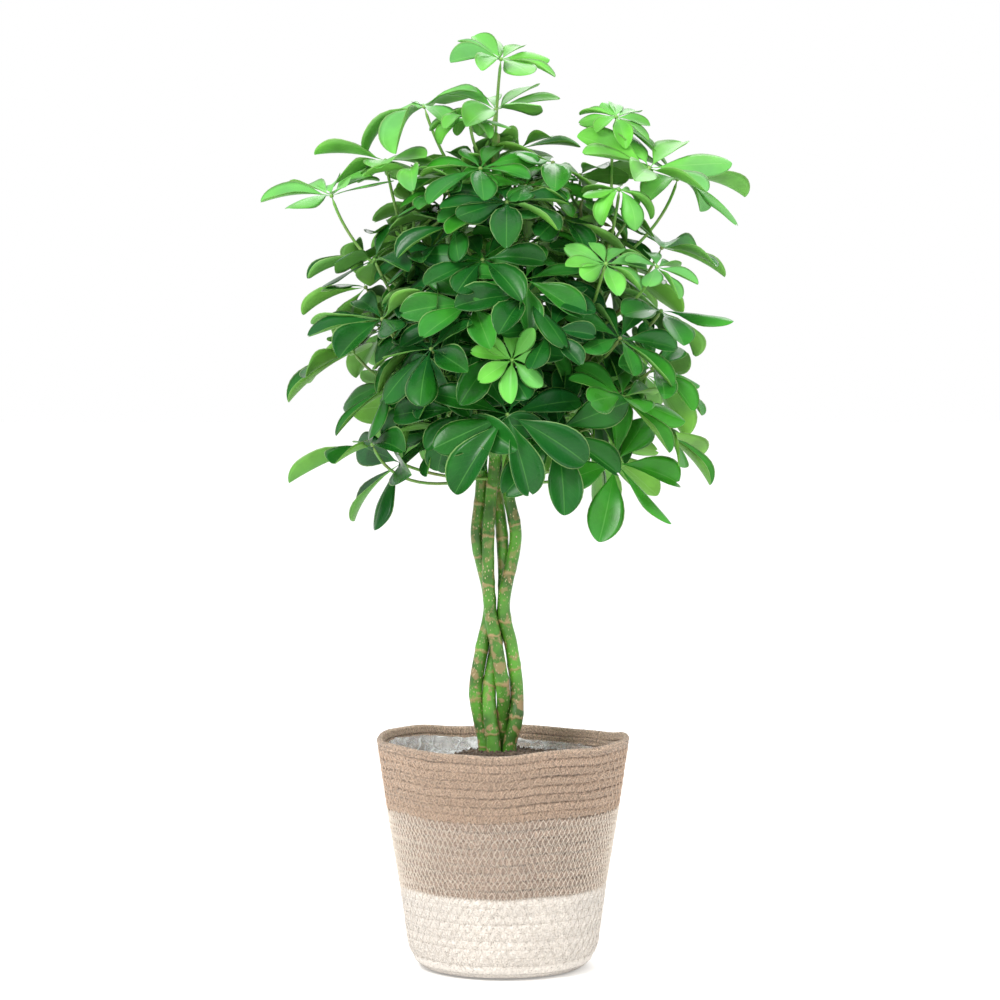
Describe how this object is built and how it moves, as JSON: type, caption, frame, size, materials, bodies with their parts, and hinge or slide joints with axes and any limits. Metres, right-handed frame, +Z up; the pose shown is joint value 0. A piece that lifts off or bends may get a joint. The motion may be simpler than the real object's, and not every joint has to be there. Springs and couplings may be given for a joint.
{
  "type": "potted umbrella tree",
  "caption": "Umbrella tree with plaited green stems and a dense crown of star-shaped glossy leaves, standing in a round sewn jute basket with a white lower band.",
  "frame": {"origin": "centre of the basket's flat base, on the floor", "axes": "+Z up along the stems, -Y towards the viewer of the best side, +X to the right"},
  "size_m": [0.4635, 0.3743, 0.889],
  "materials": {
    "white_braid": "off-white sewn jute braid, matt",
    "stitched_braid": "natural jute braid sewn with white thread",
    "natural_braid": "natural jute braid, matt",
    "film": "clear crinkled film",
    "soil": "dark crumbly potting soil",
    "bark": "smooth green stem with tan leaf scars",
    "old_leaf": "glossy dark green leaf",
    "young_leaf": "bright light green leaf"
  },
  "bodies": {
    "root": {"basket_base": "white_braid", "basket_white_band": "white_braid", "basket_stitched_band": "stitched_braid", "basket_natural_band": "natural_braid", "basket_rim": "natural_braid", "film_liner": "film", "soil": "soil", "stem_leader": "bark", "stem_left": "bark", "stem_right": "bark", "stem_back": "bark", "leaf_crown_1": "young_leaf", "leaf_crown_2": "young_leaf", "leaf_crown_3": "young_leaf", "leaf_crown_4": "young_leaf", "leaf_crown_5": "young_leaf", "leaf_crown_6": "young_leaf", "leaf_crown_7": "young_leaf", "leaf_crown_8": "young_leaf", "leaf_crown_9": "young_leaf", "leaf_crown_10": "young_leaf", "leaf_crown_11": "old_leaf", "leaf_crown_12": "old_leaf", "leaf_crown_13": "young_leaf", "leaf_crown_14": "old_leaf", "leaf_front_1": "old_leaf", "leaf_front_2": "old_leaf", "leaf_front_3": "old_leaf", "leaf_front_4": "old_leaf", "leaf_front_5": "old_leaf", "leaf_front_6": "young_leaf", "leaf_front_7": "old_leaf", "leaf_front_8": "old_leaf", "leaf_front_9": "old_leaf", "leaf_front_10": "young_leaf", "leaf_left_1": "old_leaf", "leaf_left_2": "old_leaf", "leaf_left_3": "old_leaf", "leaf_left_4": "old_leaf", "leaf_left_5": "old_leaf", "leaf_left_6": "old_leaf", "leaf_left_7": "old_leaf", "leaf_right_1": "young_leaf", "leaf_right_2": "old_leaf", "leaf_right_3": "old_leaf", "leaf_right_4": "old_leaf", "leaf_right_5": "old_leaf", "leaf_right_6": "old_leaf", "leaf_right_7": "old_leaf", "leaf_right_8": "old_leaf", "leaf_back_1": "old_leaf", "leaf_back_2": "old_leaf", "leaf_back_3": "old_leaf", "leaf_back_4": "old_leaf", "leaf_back_5": "old_leaf", "leaf_back_6": "old_leaf", "leaf_back_7": "old_leaf", "leaf_back_8": "old_leaf", "leaf_back_9": "old_leaf", "leaf_back_10": "old_leaf"}
  },
  "joints": []
}
